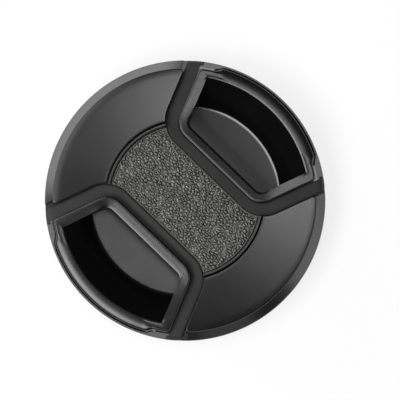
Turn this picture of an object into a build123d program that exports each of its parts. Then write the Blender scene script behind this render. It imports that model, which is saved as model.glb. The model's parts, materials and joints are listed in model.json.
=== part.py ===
from build123d import *
import math
import os

# Centre-pinch lens cap. The cap lies on its rear face: z = 0 is the rear plane, +Z points out of the front,
# and the tabs are pinched together along X. All sizes are in millimetres.

# Filter thread that the cap clips into
thread_diameter = 58.0
thread_pitch = 0.75
pilot_clearance = 0.35
tooth_clearance = 0.05
tooth_count = 2

# Overall form
rim_overhang = 1.0
cap_height = 8.6
seat_height = 3.0
wall = 1.6
slide_gap = 0.1

# Panels, rim band and bridge of the front body
panel_thickness = 1.3
panel_drop = 0.7
panel_bevel = 2.5
panel_corner = 0.65
edge_step = 0.7
band_rise = 1.8
band_width = 1.8
band_notch = 1.0
ledge_thickness = 1.4

# Bay that each tab fills: a straight side, rounded corners and two arms that spread to the rim
arm_angle = 21.2
arm_station = 18.0
bay_side = 7.35
arm_margin = 11.31
bay_corner = 6.75

# Centre plate and the thin ribs at its ends
recess_depth = 0.7
plate_radius = 16.1
plate_thickness = 0.6
plate_gap = 0.2
plate_corner = 0.5
rib_gap = 0.25
rib_width = 0.55
rib_drop = 0.15
rib_groove = 0.3

# Pinch tabs
travel = 2.0
strip_side = 2.35
strip_arm = 3.12
strip_thickness = 1.2
strip_overlap = 1.2
strip_proud = 0.1
strip_end_chamfer = 0.6
frame_corner = 4.4
frame_inset = 0.8
frame_end_inset = 1.6
jog_start = 27.0
jog_end = 31.0
jog_round = 1.2
bead_width = 2.0
bead_chamfer = 0.6
mouth_chamfer = 0.35
pocket_corner = 2.4
rim_bead_width = 2.6
ramp_run = 6.3
mouth_lip = 0.6
cove_run = 0.9
tub_wall = 1.1
floor_gap = 0.2
skirt_thickness = 1.3
tooth_half_angle = 30.0
tab_rib_thickness = 0.9
tab_rib_pitch = 12.0

# Guides and stops between the tabs and the rear cover
guide_inset = 3.29
guide_thickness = 1.2
lug_start = 9.2
lug_length = 1.2
lug_depth = 4.9
stop_length = 1.2
stop_gap = 0.05

# Return springs
spring_spacing = 12.0
spring_radius = 1.4
spring_turns = 5
runs_per_turn = 10
wire_sides = 4
wire_radius = 0.2
peg_clearance = 0.2
peg_length = 1.5
spine_thickness = 1.6
spine_margin = 3.0

# Rear cover and the staked pegs that hold it
cover_thickness = 1.2
cover_inset = 0.3
cover_chamfer = 0.3
ridge_height = 1.0
ridge_gap = 0.2
ridge_thickness = 0.8
ridge_half_angle = 12.0
stake_x = 9.0
stake_inset = 5.645
stake_length = 3.0
stake_width = 1.6
stake_shoulder = 0.8
stake_clearance = 0.1
stake_recess = 0.2

# Sizes that follow from the ones above
rim_diameter = thread_diameter + 2 * rim_overhang
rim_radius = rim_diameter / 2
slope = math.tan(math.radians(arm_angle))
arm_stretch = 1 / math.cos(math.radians(arm_angle))
thread_depth = 0.54 * thread_pitch
pilot_radius = thread_diameter / 2 - thread_depth - pilot_clearance
pilot_inner = pilot_radius - wall
stake_y = pilot_inner - stake_inset
tooth_crest = thread_diameter / 2 - tooth_clearance
cover_radius = pilot_radius - cover_inset
panel_radius = rim_radius - band_width
plate_under = cap_height - panel_thickness
bridge_top = cap_height - recess_depth
band_top = cap_height - panel_drop - edge_step
rim_edge_top = band_top - band_rise
strip_top = plate_under - slide_gap
strip_under = strip_top - strip_thickness
strip_end = rim_radius + strip_proud
ledge_top = seat_height + ledge_thickness
tab_bottom = cover_thickness + floor_gap
floor_top = tab_bottom + tub_wall
ramp_top = cap_height - mouth_lip
lip_inner = pilot_radius - skirt_thickness
bay_arm = rim_radius - arm_margin
guide_half_width = bay_arm - guide_inset
pocket_radius = rim_radius - frame_inset - rim_bead_width
floor_radius = pocket_radius - ramp_run
frame_side = bay_side + strip_side
frame_arm = bay_arm - strip_arm
pocket_side = frame_side + bead_width
pocket_arm = frame_arm - bead_width
tub_side = pocket_side - tub_wall
spring_height = (cover_thickness + strip_under) / 2
peg_side = (spring_radius - wire_radius - peg_clearance) * math.sqrt(2)
stop_start = lug_start + lug_length + stop_gap
outer_lug_start = stop_start + stop_length + travel + 2 * slide_gap
reach = rim_diameter


def arm_y(arm, x):
    """Height above the X axis of an arm edge at a given x."""
    return arm + slope * (x - arm_station)


def bay_face(side, arm, corner, grow=0.0):
    """A bay open towards +X, with its side, arms and corners moved outwards by grow."""
    side = side - grow
    arm = arm + grow * arm_stretch
    inner = (side, arm_y(arm, side))
    outer = (reach, arm_y(arm, reach))
    with BuildSketch() as face:
        with BuildLine():
            Polyline((inner[0], -inner[1]), inner, outer, (outer[0], -outer[1]), close=True)
        make_face()
        fillet(face.vertices().group_by(Axis.X)[0], corner + grow)
    return face.sketch


def both_bays(grow=0.0):
    """The right bay and its mirror image."""
    right = bay_face(bay_side, bay_arm, bay_corner, grow)
    with BuildSketch() as pair:
        add(right)
        mirror(right, about=Plane.YZ)
    return pair.sketch


def frame_limit():
    """Plan limit of the raised frame: the middle stands out to the rim, the two ends step in."""
    middle = rim_radius - frame_inset
    end = rim_radius - frame_end_inset
    far = 60.0
    start_point = (middle * math.cos(math.radians(jog_start)), middle * math.sin(math.radians(jog_start)))
    end_point = (end * math.cos(math.radians(jog_end)), end * math.sin(math.radians(jog_end)))
    with BuildSketch() as limit:
        with BuildLine():
            CenterArc((0, 0), middle, -jog_start, 2 * jog_start)
            Line(start_point, end_point)
            upper = CenterArc((0, 0), end, jog_end, far - jog_end)
            Polyline(upper @ 1, (0, 0), ((upper @ 1).X, -(upper @ 1).Y))
            CenterArc((0, 0), end, -far, far - jog_end)
            Line((end_point[0], -end_point[1]), (start_point[0], -start_point[1]))
        make_face()
        jogs = limit.vertices().filter_by(lambda v: v.X > end * math.cos(math.radians(far)) + 1)
        fillet(jogs, jog_round)
    return limit.sketch


def pocket_form(grow, cove, top):
    """The finger pocket as a solid, grown by a wall: D-shaped in plan, with a flat floor, a cove and an outer ramp."""
    ramp = math.atan2(ramp_top - floor_top, pocket_radius - floor_radius)
    floor = floor_top - grow
    foot = floor_radius + grow * math.tan(ramp / 2)
    mouth = pocket_radius + grow
    head = floor + (mouth - foot) * math.tan(ramp)
    outline = bay_face(pocket_side, pocket_arm, pocket_corner, grow)
    with BuildPart() as form:
        with BuildSketch(Plane.XZ) as section:
            with BuildLine():
                Polyline((0, floor), (foot, floor), (mouth, head), (mouth, top), (0, top), close=True)
            make_face()
            if cove > 0:
                chamfer(section.vertices().group_by(Axis.Y)[0].sort_by(Axis.X)[-1], cove)
        revolve(axis=Axis.Z)
        with BuildSketch(Plane.XY.offset(floor)):
            add(outline)
        extrude(amount=top - floor, mode=Mode.INTERSECT)
    return form.part


def band_cut():
    """The space in front of the sloped rim band, between the two strip ends."""
    with BuildPart() as cut:
        with BuildSketch(Plane.XZ):
            with BuildLine():
                Polyline(
                    (panel_radius, band_top),
                    (rim_radius, rim_edge_top),
                    (rim_radius, 0),
                    (reach, 0),
                    (reach, cap_height),
                    (panel_radius, cap_height),
                    close=True,
                )
            make_face()
        revolve(axis=Axis.Z)
        with BuildSketch():
            add(frame_bay)
        extrude(amount=cap_height, mode=Mode.INTERSECT)
    return cut.part


def radial_plane(angle):
    """An upright plane through the Z axis: local x runs outwards at the given angle, local y runs up."""
    turn = math.radians(angle)
    outwards = (math.cos(turn), math.sin(turn), 0)
    across = (math.sin(turn), -math.cos(turn), 0)
    return Plane((0, 0, 0), x_dir=outwards, z_dir=across)


def spring(y, first, last):
    """A coil spring along X between two seats, its wire bent in short straight runs."""
    start = first + wire_radius
    length = last - first - 2 * wire_radius
    runs = spring_turns * runs_per_turn
    turns = [2 * math.pi * run / runs_per_turn for run in range(runs + 1)]
    coil_points = [
        (
            start + length * run / runs,
            y + spring_radius * math.sin(turn),
            spring_height + spring_radius * math.cos(turn),
        )
        for run, turn in enumerate(turns)
    ]
    with BuildPart() as coil:
        with BuildLine() as path:
            Polyline(*coil_points)
        with BuildSketch(path.line ^ 0):
            RegularPolygon(wire_radius, wire_sides)
        sweep(transition=Transition.RIGHT)
    return coil.part


os.makedirs("parts", exist_ok=True)

bay = bay_face(bay_side, bay_arm, bay_corner)
frame_bay = bay_face(frame_side, frame_arm, frame_corner)
bays = both_bays()
notched_bays = both_bays(band_notch)
plate_bays = both_bays(plate_gap)
narrow_bay = bay_face(bay_side, bay_arm, bay_corner, -band_notch)
flange_bay = bay_face(bay_side, bay_arm, bay_corner, strip_overlap)
frame_outline = frame_limit()
band_clearance = band_cut()
tub = pocket_form(tub_wall, 0.0, cap_height - bead_chamfer)
pocket = pocket_form(0.0, cove_run, cap_height + wall)
stakes = [(sx * stake_x, sy * stake_y) for sx in (-1, 1) for sy in (-1, 1)]
spring_rows = (-spring_spacing / 2, spring_spacing / 2)


# Front body: rim arcs, hourglass panel plate with a recess for the centre plate, and four staked pegs
with BuildPart() as front_body:
    with BuildSketch(Plane.XZ):
        with BuildLine():
            Polyline(
                (pilot_inner, cover_thickness),
                (pilot_radius, cover_thickness),
                (pilot_radius, seat_height),
                (rim_radius, seat_height),
                (rim_radius, rim_edge_top),
                (panel_radius, band_top),
                (panel_radius, plate_under + slide_gap),
                (pilot_inner, plate_under + slide_gap),
                close=True,
            )
        make_face()
    revolve(axis=Axis.Z)
    with BuildSketch():
        add(bays)
    extrude(amount=cap_height, mode=Mode.SUBTRACT)
    with BuildSketch(Plane.XY.offset(ledge_top)):
        add(notched_bays)
    extrude(amount=cap_height - ledge_top, mode=Mode.SUBTRACT)

    with BuildSketch(Plane.XY.offset(plate_under)) as panels:
        Circle(panel_radius)
        add(bays, mode=Mode.SUBTRACT)
        outer_corners = panels.vertices().group_by(SortBy.DISTANCE)[-1]
        fillet(outer_corners, panel_corner)
    extrude(amount=panel_thickness)

    with BuildSketch(Plane.XZ):
        with BuildLine():
            Polyline(
                (panel_radius - panel_bevel, cap_height),
                (panel_radius, cap_height),
                (panel_radius, cap_height - panel_drop),
                close=True,
            )
        make_face()
    revolve(axis=Axis.Z, mode=Mode.SUBTRACT)

    rib_inner = plate_radius + rib_gap
    rib_outer = rib_inner + rib_width
    with BuildSketch(Plane.XY.offset(bridge_top)):
        Circle(rib_outer + rib_groove)
    extrude(amount=cap_height - bridge_top, mode=Mode.SUBTRACT)
    with BuildSketch(Plane.XY.offset(bridge_top)):
        Circle(rib_outer)
        Circle(rib_inner, mode=Mode.SUBTRACT)
        add(bays, mode=Mode.SUBTRACT)
    extrude(amount=cap_height - rib_drop - bridge_top)

    with BuildSketch(Plane.XY.offset(cover_thickness)):
        with Locations(*stakes):
            Rectangle(stake_length + 2 * stake_shoulder, stake_width + 2 * stake_shoulder)
    extrude(amount=plate_under + slide_gap - cover_thickness)
    with BuildSketch(Plane.XY.offset(stake_recess)):
        with Locations(*stakes):
            Rectangle(stake_length, stake_width)
    extrude(amount=cover_thickness + slide_gap - stake_recess)

# Centre plate: the grained inlay on the bridge
with BuildPart() as centre_plate:
    with BuildSketch(Plane.XY.offset(bridge_top)) as plate:
        Circle(plate_radius)
        add(plate_bays, mode=Mode.SUBTRACT)
        plate_tips = plate.vertices().group_by(SortBy.DISTANCE)[-1]
        fillet(plate_tips, plate_corner)
    extrude(amount=plate_thickness)

# Rim ring of the right tab: the strip's two ends, with the sloped rim band between them
with BuildPart() as rim_ring:
    with BuildSketch(Plane.XZ):
        with BuildLine():
            Polyline(
                (lip_inner, ledge_top + slide_gap),
                (strip_end, ledge_top + slide_gap),
                (strip_end, strip_top - strip_end_chamfer),
                (strip_end - strip_end_chamfer, strip_top),
                (lip_inner, strip_top),
                close=True,
            )
        make_face()
    revolve(axis=Axis.Z)
    with BuildSketch():
        add(bay)
    extrude(amount=cap_height, mode=Mode.INTERSECT)
    with BuildSketch(Plane.XY.offset(seat_height)):
        Circle(rim_radius)
        Circle(lip_inner, mode=Mode.SUBTRACT)
        add(narrow_bay, mode=Mode.INTERSECT)
    extrude(amount=strip_under - seat_height)
    add(band_clearance, mode=Mode.SUBTRACT)

# Right pinch tab: rim ring, recessed strip, raised frame and the finger pocket hung below it
with BuildPart() as right_pinch_tab:
    with BuildSketch(Plane.XY.offset(strip_under)):
        add(frame_outline)
        add(frame_bay, mode=Mode.INTERSECT)
    extrude(amount=cap_height - strip_under)
    chamfer(right_pinch_tab.faces().sort_by(Axis.Z)[-1].edges(), bead_chamfer)
    add(rim_ring.part)

    with BuildSketch(Plane.XY.offset(strip_under)):
        add(flange_bay)
        Circle(pilot_inner - 6 * slide_gap, mode=Mode.INTERSECT)
    extrude(amount=strip_thickness)
    with BuildSketch(Plane.XY.offset(strip_under)):
        Circle(pilot_radius)
        add(bay, mode=Mode.INTERSECT)
    extrude(amount=strip_thickness)

    with BuildSketch(Plane.XY.offset(tab_bottom)):
        Circle(pilot_radius)
        Circle(lip_inner, mode=Mode.SUBTRACT)
        add(frame_bay, mode=Mode.INTERSECT)
    extrude(amount=strip_top - tab_bottom)
    for tooth in range(tooth_count):
        crest_height = seat_height - (tooth + 0.6) * thread_pitch
        with BuildSketch(radial_plane(-tooth_half_angle)):
            with BuildLine():
                Polyline(
                    (lip_inner, crest_height + 0.5 * thread_pitch),
                    (pilot_radius, crest_height + 0.5 * thread_pitch),
                    (tooth_crest, crest_height),
                    (pilot_radius, crest_height - 0.5 * thread_pitch),
                    (lip_inner, crest_height - 0.5 * thread_pitch),
                    close=True,
                )
            make_face()
        revolve(axis=Axis.Z, revolution_arc=2 * tooth_half_angle)

    add(tub)
    with BuildSketch(Plane.XY.offset(tab_bottom)):
        with Locations((floor_radius, -tab_rib_pitch / 2), (floor_radius, tab_rib_pitch / 2)):
            Rectangle(pilot_radius - floor_radius, tab_rib_thickness, align=(Align.MIN, Align.CENTER))
        Circle(pilot_radius - skirt_thickness / 2, mode=Mode.INTERSECT)
    extrude(amount=strip_top - tab_bottom)

    with BuildSketch(Plane.XY.offset(tab_bottom)):
        for lug in (lug_start, outer_lug_start):
            with Locations((lug + lug_length / 2, 0)):
                with GridLocations(1, 2 * guide_half_width - lug_depth, 1, 2):
                    Rectangle(lug_length, lug_depth)
    extrude(amount=strip_top - tab_bottom)
    with BuildSketch(Plane.YZ.offset(tub_side)):
        with Locations(*[(row, spring_height) for row in spring_rows]):
            Rectangle(peg_side, peg_side)
    extrude(amount=-peg_length)

    add(pocket, mode=Mode.SUBTRACT)
    mouth = right_pinch_tab.faces().sort_by(Axis.Z)[-1].inner_wires()[0]
    chamfer(mouth.edges(), mouth_chamfer)

# Left pinch tab: the mirror image of the right one
with BuildPart() as left_pinch_tab:
    mirror(right_pinch_tab.part, about=Plane.YZ)

# Rear cover: disc with stake holes, locating ridges, tab guides with stops, and the spine that carries the springs
with BuildPart() as rear_cover:
    with BuildSketch():
        Circle(cover_radius)
    extrude(amount=cover_thickness)
    chamfer(rear_cover.edges().group_by(Axis.Z)[0], cover_chamfer)

    with BuildSketch(Plane.XY.offset(cover_thickness)):
        for stop_side in (-1, 1):
            for row_side in (-1, 1):
                guide_first = lug_start - travel - slide_gap
                guide_last = outer_lug_start + lug_length
                guide_middle = guide_half_width + slide_gap + guide_thickness / 2
                stop_inner = arm_y(pocket_arm + tub_wall * arm_stretch, stop_start + stop_length + travel)
                stop_inner = stop_inner + 2 * slide_gap
                stop_outer = guide_half_width + slide_gap + guide_thickness
                with Locations((stop_side * (guide_first + guide_last) / 2, row_side * guide_middle)):
                    Rectangle(guide_last - guide_first, guide_thickness)
                stop_middle = stop_side * (stop_start + stop_length / 2)
                with Locations((stop_middle, row_side * (stop_inner + stop_outer) / 2)):
                    Rectangle(stop_length, stop_outer - stop_inner)
    extrude(amount=strip_under - slide_gap - cover_thickness)

    with BuildSketch(Plane.XY.offset(cover_thickness)):
        Rectangle(spine_thickness, spring_spacing + 2 * spine_margin)
    extrude(amount=plate_under - cover_thickness)
    with BuildSketch(Plane.YZ.offset(-spine_thickness / 2 - peg_length)):
        with Locations(*[(row, spring_height) for row in spring_rows]):
            Rectangle(peg_side, peg_side)
    extrude(amount=spine_thickness + 2 * peg_length)

    for ridge_side in (90, -90):
        with BuildSketch(radial_plane(ridge_side - ridge_half_angle)):
            ridge_outer = pilot_inner - ridge_gap
            with Locations((ridge_outer - ridge_thickness / 2, cover_thickness + ridge_height / 2)):
                Rectangle(ridge_thickness, ridge_height)
        revolve(axis=Axis.Z, revolution_arc=2 * ridge_half_angle)

    with BuildSketch():
        with Locations(*stakes):
            Rectangle(stake_length + 2 * stake_clearance, stake_width + 2 * stake_clearance)
    extrude(amount=cover_thickness, mode=Mode.SUBTRACT)

pieces = {
    "front_body": front_body.part,
    "centre_plate": centre_plate.part,
    "right_pinch_tab": right_pinch_tab.part,
    "left_pinch_tab": left_pinch_tab.part,
    "rear_cover": rear_cover.part,
    "right_upper_spring": spring(spring_rows[1], spine_thickness / 2, tub_side),
    "right_lower_spring": spring(spring_rows[0], spine_thickness / 2, tub_side),
    "left_upper_spring": spring(spring_rows[1], -tub_side, -spine_thickness / 2),
    "left_lower_spring": spring(spring_rows[0], -tub_side, -spine_thickness / 2),
}
for name, piece in pieces.items():
    piece.label = name
    export_step(piece, f"parts/{name}.step")
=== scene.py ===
# %% [markdown]
# # A black centre-pinch lens cap
# The cap clips into the 58 mm filter thread of a lens. Two sprung tabs are pinched together, which pulls
# their teeth out of the thread. This lesson dresses the imported CAD model: each visible piece is rebuilt
# as a finely rounded mesh in the same place, and gets the finish of its own patch of the mould. The CAD
# model sets every size, so the script starts by loading it.
# Shapes are worked out in millimetres, with X along the pinch, Y across it and Z up out of the front.

# %% Load the CAD frame
import json
import math

import bmesh
import bpy
import numpy as np
from mathutils import Matrix, Vector, noise

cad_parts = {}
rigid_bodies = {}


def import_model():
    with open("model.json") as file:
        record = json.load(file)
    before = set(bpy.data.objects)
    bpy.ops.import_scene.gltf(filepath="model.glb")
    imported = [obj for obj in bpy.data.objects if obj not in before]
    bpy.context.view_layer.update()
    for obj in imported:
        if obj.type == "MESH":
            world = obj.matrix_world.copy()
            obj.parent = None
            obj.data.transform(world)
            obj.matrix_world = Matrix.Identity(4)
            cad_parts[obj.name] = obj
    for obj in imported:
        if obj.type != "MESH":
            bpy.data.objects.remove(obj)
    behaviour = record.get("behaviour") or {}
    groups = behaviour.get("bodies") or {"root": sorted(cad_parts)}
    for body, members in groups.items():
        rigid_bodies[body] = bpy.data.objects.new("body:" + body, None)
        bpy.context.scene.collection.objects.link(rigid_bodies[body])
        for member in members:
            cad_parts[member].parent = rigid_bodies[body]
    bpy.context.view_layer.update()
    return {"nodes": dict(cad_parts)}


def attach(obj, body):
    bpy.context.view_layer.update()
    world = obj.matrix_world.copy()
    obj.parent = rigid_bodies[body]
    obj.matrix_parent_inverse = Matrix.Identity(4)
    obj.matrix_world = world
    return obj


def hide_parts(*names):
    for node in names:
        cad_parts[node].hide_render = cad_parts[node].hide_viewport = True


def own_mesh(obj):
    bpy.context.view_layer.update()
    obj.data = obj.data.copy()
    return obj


MM = 0.001
MM_PER_M = 1000

for leftover in list(bpy.data.objects):
    bpy.data.objects.remove(leftover)
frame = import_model()

# %% [markdown]
# ## Meshes from rows of points
# A moulded cap is a set of smooth walls that follow a few plan curves. Subdivision surfaces would pull
# those curves off their true radii, and bevel modifiers fail where many cuts meet. Here each wall is a
# loft instead: rows of points joined by quads. Rounded edges are rows of their own.

# %% Shell helpers
def new_shell():
    """An empty collection of points and faces, with the finish of each face."""
    return {"points": [], "faces": [], "finish": []}


def loft(shell, rows, finish=0, closed=False):
    """Joins rows of points by quads; closed also joins the last point of each row to its first."""
    count = len(rows[0])
    first = len(shell["points"])
    for row in rows:
        shell["points"].extend(tuple(point) for point in row)
    columns = count if closed else count - 1
    for row in range(len(rows) - 1):
        for column in range(columns):
            near = first + row * count + column
            side = first + row * count + (column + 1) % count
            shell["faces"].append((near, side, side + count, near + count))
            shell["finish"].append(finish)


def close_ring(shell, ring, finish=0):
    """Closes a ring of points with one face."""
    first = len(shell["points"])
    shell["points"].extend(tuple(point) for point in ring)
    shell["faces"].append(tuple(range(first, first + len(ring))))
    shell["finish"].append(finish)


def flat_row(plan, height):
    """A row of 3-D points from plan points and one height, or one height for each."""
    plan = np.asarray(plan, float)
    return np.column_stack([plan, np.broadcast_to(height, len(plan))])


def from_axis(plan):
    """Distance of each plan point from the cap's axis."""
    return np.hypot(plan[:, 0], plan[:, 1])


print("a shell keeps", ", ".join(new_shell()))

# %% [markdown]
# ## Turning a shell into a piece
# Shells meet at common points, so they are welded, shaded smooth and left sharp where two faces turn by
# more than a set angle. A weighted-normal modifier keeps the large flats flat next to their small rounded
# edges. Every piece then rides on the CAD body that carries it and stands for its CAD node.

# %% Piece helper
WELD_METRES = 2e-6
SHARP_TURN = math.radians(40)


def make_piece(name, shell, finishes, body, nodes):
    """Makes one object from a shell in mm, rides it on a CAD body and lets it stand for CAD nodes."""
    mesh = bpy.data.meshes.new(name)
    mesh.from_pydata([[MM * v for v in point] for point in shell["points"]], [], shell["faces"])
    mesh.polygons.foreach_set("material_index", shell["finish"])
    weld = bmesh.new()
    weld.from_mesh(mesh)
    bmesh.ops.remove_doubles(weld, verts=weld.verts, dist=WELD_METRES)
    bmesh.ops.recalc_face_normals(weld, faces=weld.faces)
    weld.to_mesh(mesh)
    weld.free()
    for finish in finishes:
        mesh.materials.append(finish)
    mesh.shade_smooth()
    mesh.set_sharp_from_angle(angle=SHARP_TURN)
    piece = bpy.data.objects.new(name, mesh)
    bpy.context.scene.collection.objects.link(piece)
    piece.modifiers.new("weighted_normals", "WEIGHTED_NORMAL").keep_sharp = True
    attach(piece, body)
    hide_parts(*nodes)
    print(name, "has", len(mesh.polygons), "faces")
    return piece


print("edges are sharp from", round(math.degrees(SHARP_TURN)), "degrees")

# %% [markdown]
# ## Nodes and colours
# All materials are built with a few small functions. One turns an sRGB hex colour, as a colour picker
# shows it, into the linear values that the renderer works in, and one adds a node with its settings and
# links.

# %% Node and colour helpers
def srgb(hex_code):
    """An sRGB hex colour as linear RGBA."""
    values = [int(hex_code[i:i + 2], 16) / 255 for i in (1, 3, 5)]
    return [v / 12.92 if v <= 0.04045 else ((v + 0.055) / 1.055) ** 2.4 for v in values] + [1.0]


def add_node(tree, kind, links=(), inputs=(), **settings):
    """Adds a node to a tree, with its properties, input values and links from other nodes' outputs."""
    node = tree.nodes.new(kind)
    for key, value in settings.items():
        setattr(node, key, value)
    for key, value in dict(inputs).items():
        node.inputs[key].default_value = value
    for key, output in dict(links).items():
        tree.links.new(output, node.inputs[key])
    return node


def new_material(name):
    """An empty node material with its output node."""
    material = bpy.data.materials.new(name)
    material.use_nodes = True
    material.node_tree.nodes.clear()
    output = add_node(material.node_tree, "ShaderNodeOutputMaterial")
    return material, material.node_tree, output


print("middle grey as a linear value:", round(srgb("#808080")[0], 3))

# %% [markdown]
# ## Black ABS, as the mould leaves it
# The whole cap is ABS with carbon black all through it, so its own colour is nearly black everywhere and
# the eye tells the surfaces apart by their gloss. A polished patch of the mould gives a glossy surface, a
# vapour blasted patch gives satin, and a spark-eroded patch gives a fine matte grit. One function makes
# them all from the roughness of the patch, how far it drifts, and the size and depth of the grit. On the
# grained plate the tops get a painted highlight: Blender's Pointiness tells tops from valleys, and the
# tops are painted light grey. The real grit is about 0.05 mm, too fine to show, so it is drawn four to
# eight times as coarse.

# %% ABS function
ABS_IOR = 1.54
CLOUD = 9.0
CLOUD_RANGE = {"From Min": 0.3, "From Max": 0.7}
CLOUD_LIGHTER = 1.25
TOP_HIGHLIGHT_RANGE = {"From Min": 0.47, "From Max": 0.54}


def moulded_abs(name, colour, roughness, drift, grit, grit_depth, specular=0.5, tops=None):
    """Black ABS: a gloss that drifts over some millimetres, and the fine grit of its patch of the mould."""
    material, tree, output = new_material(name)
    place = add_node(tree, "ShaderNodeTexCoord")
    cloud = add_node(tree, "ShaderNodeTexNoise", {"Vector": place.outputs["Object"]},
                     {"Scale": MM_PER_M / CLOUD, "Detail": 4.0, "Roughness": 0.6})
    gloss = add_node(tree, "ShaderNodeMapRange", {"Value": cloud.outputs["Fac"]},
                     {**CLOUD_RANGE, "To Min": roughness - drift, "To Max": roughness + drift})
    grains = add_node(tree, "ShaderNodeTexNoise", {"Vector": place.outputs["Object"]},
                      {"Scale": MM_PER_M / grit, "Detail": 2.0, "Roughness": 0.5})
    bump = add_node(tree, "ShaderNodeBump", {"Height": grains.outputs["Fac"]},
                    {"Distance": MM * grit_depth, "Strength": 1.0})
    patch = cloud.outputs["Fac"]
    lighter = [CLOUD_LIGHTER * v for v in srgb(colour)[:3]] + [1.0]
    # Light tops: a painted highlight in the base colour, on the pebble tops that Pointiness picks out.
    if tops:
        shape = add_node(tree, "ShaderNodeNewGeometry")
        top_highlight = add_node(tree, "ShaderNodeMapRange", {"Value": shape.outputs["Pointiness"]}, TOP_HIGHLIGHT_RANGE)
        patch = top_highlight.outputs["Result"]
        lighter = srgb(tops)
    tint = add_node(tree, "ShaderNodeMix", {"Factor": patch}, data_type="RGBA")
    tint.inputs["A"].default_value = srgb(colour)
    tint.inputs["B"].default_value = lighter
    surface = add_node(tree, "ShaderNodeBsdfPrincipled",
                       {"Base Color": tint.outputs["Result"], "Roughness": gloss.outputs["Result"],
                        "Normal": bump.outputs["Normal"]},
                       {"IOR": ABS_IOR, "Specular IOR Level": specular})
    tree.links.new(surface.outputs["BSDF"], output.inputs["Surface"])
    return material


print("one patch of gloss is about", CLOUD, "mm wide")

# %% [markdown]
# ## The finish of each patch
# Each surface of the cap has its own patch of the mould. The roughness starts from a typical value for
# that kind of patch and was then matched to the real cap, as was the specular level of lip and ramp.

# %% ABS finishes
# Satin that carries a slow, clear gradient across the crowned panels.
panel_abs = moulded_abs("abs_satin_panel", "#0e0e0d", 0.23, 0.02, 0.35, 0.001)
# Polished, for a bright line along the steep lip of the tabs.
lip_abs = moulded_abs("abs_polished_lip", "#0e0e0d", 0.20, 0.02, 0.25, 0.002, specular=0.8)
# A fine texture that spreads the low lamps into a pale band round the rim.
rim_abs = moulded_abs("abs_fine_matte_rim", "#0e0e0d", 0.25, 0.02, 0.25, 0.002)
# A flat dark grey that hardly changes with the light, and so sets the strip off from its neighbours.
strip_abs = moulded_abs("abs_spark_eroded_strip", "#0a0a09", 0.66, 0.03, 0.25, 0.010)
# Satin that draws soft lines of light along the rounded frame.
frame_abs = moulded_abs("abs_satin_frame", "#0d0d0c", 0.27, 0.03, 0.30, 0.003)
# A dull satin that gives the pocket's floor an even sheen.
floor_abs = moulded_abs("abs_satin_pocket_floor", "#0a0a09", 0.36, 0.03, 0.35, 0.003)
# Half polished, for one narrow bright line where the floor turns up.
cove_abs = moulded_abs("abs_semi_polished_cove", "#0a0a09", 0.17, 0.03, 0.35, 0.002)
# Polished, so that it mirrors the dark of the room. Its colour is also painted darker than the rest of
# the cap as painted shade for the deep pocket, so it looks the blackest of all.
ramp_abs = moulded_abs("abs_polished_ramp", "#040404", 0.16, 0.03, 0.40, 0.001, specular=0.3)
# Light grey tops as a painted highlight over dark valleys, which sparkle when they are lit from the side.
grain_abs = moulded_abs("abs_leather_grain", "#0e0e0e", 0.30, 0.04, 0.20, 0.010, tops="#70706c")
# An even, dull black for the back.
rear_abs = moulded_abs("abs_matte_rear", "#101010", 0.50, 0.04, 0.30, 0.008)
finish_names = [material.name for material in bpy.data.materials]
print("ABS finishes:", [name for name in finish_names if name.startswith("abs")])

# %% [markdown]
# ## Drawn spring wire
# The return springs are wound from bright drawn steel wire. Drawing leaves fine lines, about 0.02 mm
# apart, that make the gloss uneven. They are too fine to show, so the noise that stands for them is drawn
# at 0.1 mm. The metal keeps the default IOR.

# %% Spring steel
DRAWN_LINES = 0.1


def drawn_wire():
    """Bright steel with a faintly uneven gloss."""
    material, tree, output = new_material("steel_drawn_wire")
    place = add_node(tree, "ShaderNodeTexCoord")
    lines = add_node(tree, "ShaderNodeTexNoise", {"Vector": place.outputs["Object"]},
                     {"Scale": MM_PER_M / DRAWN_LINES, "Detail": 3.0})
    gloss = add_node(tree, "ShaderNodeMapRange", {"Value": lines.outputs["Fac"]},
                     {"To Min": 0.22, "To Max": 0.38})
    surface = add_node(tree, "ShaderNodeBsdfPrincipled", {"Roughness": gloss.outputs["Result"]},
                       {"Base Color": srgb("#b4b6b8"), "Metallic": 1.0})
    tree.links.new(surface.outputs["BSDF"], output.inputs["Surface"])
    return material


wire_steel = drawn_wire()
print("made", wire_steel.name)

# %% [markdown]
# ## The plan curves
# Seen from the front, everything on the cap follows one family of curves: a bay with a straight side, two
# rounded corners and two arms that spread to the rim. The edges of the opening, the raised frame and the
# finger pocket are such bays, one inside the other. Moving the side, the arms and the corner radius by
# the same amount gives a true parallel curve, so the rounded edges below are rows of such curves.

# %% Bays
RIM = 30.0
ARM_TILT = math.radians(21.2)
ARM_STATION = 18.0
ALONG_ARM = np.array([math.cos(ARM_TILT), math.sin(ARM_TILT)])
OFF_ARM = np.array([-math.sin(ARM_TILT), math.cos(ARM_TILT)])
OPENING = {"side": 7.35, "arm": 18.69, "corner": 6.75}
FRAME = {"side": 9.70, "arm": 15.57, "corner": 4.40}
POCKET = {"side": 12.15, "arm": 13.08, "corner": 1.95}


def grown(bay, by):
    """A bay moved outwards by a distance."""
    return {"side": bay["side"] - by, "arm": bay["arm"] + by / math.cos(ARM_TILT),
            "corner": bay["corner"] + by}


def between(bay, other, share):
    """A bay part of the way from one to another."""
    return {key: bay[key] + (other[key] - bay[key]) * share for key in bay}


def on_arm(bay, radius):
    """The point where the upper arm of a bay crosses a circle about the cap's axis."""
    foot = np.array([ARM_STATION, bay["arm"]])
    along = foot @ ALONG_ARM
    return foot + ALONG_ARM * (math.sqrt(along ** 2 - foot @ foot + radius ** 2) - along)


def arm_angle(bay, radius):
    """The angle at which the upper arm of a bay crosses a circle about the cap's axis."""
    return math.atan2(*on_arm(bay, radius)[::-1])


print("opening crosses the rim at", np.round(on_arm(OPENING, RIM), 2), "mm")

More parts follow.
